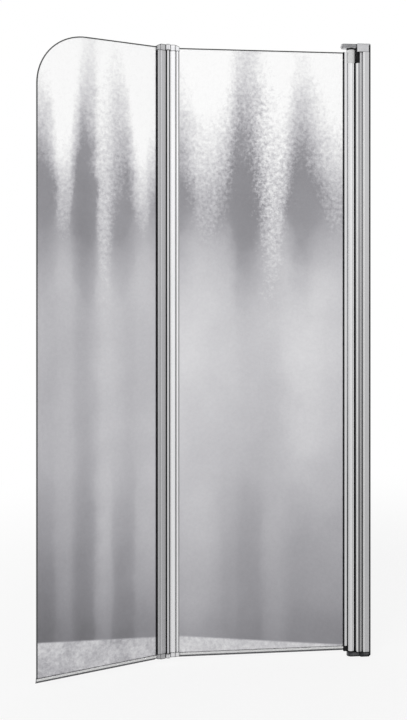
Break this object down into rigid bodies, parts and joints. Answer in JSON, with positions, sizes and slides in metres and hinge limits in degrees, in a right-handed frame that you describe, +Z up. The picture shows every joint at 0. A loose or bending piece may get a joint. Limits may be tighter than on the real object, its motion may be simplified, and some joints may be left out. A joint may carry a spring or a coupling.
{
  "type": "bath screen",
  "caption": "Folding bath screen: obscure glass panels hinged together on a round pivot post, with an adjustable wall profile, a rounded free corner and clear drip seals.",
  "frame": {"origin": "on the wall, at the lower end of the wall profile, in the middle plane of the pane beside the wall", "axes": "+Z up, +X into the wall, so the screen reaches from the wall towards -X; the outer panel folds towards -Y"},
  "size_m": [0.7482, 0.1283, 1.4],
  "materials": {
    "bright_aluminium": "bright polished",
    "cast_chrome": "polished",
    "screw_steel": "satin",
    "obscure_glass": "finely textured",
    "black_rubber": "matte",
    "grey_rubber": "matte",
    "black_plastic": "satin",
    "grey_plastic": "satin",
    "white_nylon": "satin",
    "clear_vinyl": "clear"
  },
  "bodies": {
    "wall_jamb": {"wall_profile": "bright_aluminium", "wall_seal_strips": "black_rubber", "adjuster_profile": "bright_aluminium", "adjuster_screws": "screw_steel", "screw_cover_caps": "grey_plastic", "jamb_seal": "black_rubber", "wall_top_cap": "cast_chrome", "adjuster_top_plug": "black_plastic", "wall_foot_bracket": "cast_chrome", "wall_end_screws": "screw_steel", "upper_pivot_pin": "screw_steel", "lower_pivot_pin": "screw_steel"},
    "inner_panel": {"pivot_post": "bright_aluminium", "post_top_block": "grey_plastic", "upper_pivot_bush": "black_plastic", "lower_pivot_bush": "white_nylon", "post_channel_plug": "black_plastic", "post_rubber": "black_rubber", "inner_glass": "obscure_glass", "inner_drip_seal": "clear_vinyl", "inner_fold_rubber": "grey_rubber", "inner_fold_profile": "bright_aluminium", "inner_fold_top_cap": "cast_chrome", "inner_fold_bottom_cap": "cast_chrome", "inner_cap_screws": "screw_steel", "upper_hinge_pin": "screw_steel", "lower_hinge_pin": "screw_steel"},
    "outer_panel": {"outer_fold_profile": "bright_aluminium", "hinge_bushes": "white_nylon", "fold_seal": "black_rubber", "outer_fold_rubber": "black_rubber", "outer_glass": "obscure_glass", "outer_drip_seal": "clear_vinyl", "outer_fold_top_cap": "cast_chrome", "outer_fold_bottom_cap": "cast_chrome", "outer_cap_screws": "screw_steel"}
  },
  "joints": [
    {"name": "swing", "type": "hinge", "parent": "wall_jamb", "child": "inner_panel", "pos_m": [-0.043, 0, 0.685], "axis": [0, 0, 1], "range_deg": [-90, 90]},
    {"name": "fold", "type": "hinge", "parent": "inner_panel", "child": "outer_panel", "pos_m": [-0.463, -0.008, 0.685], "axis": [0, 0, 1], "range_deg": [-21, 159]}
  ]
}
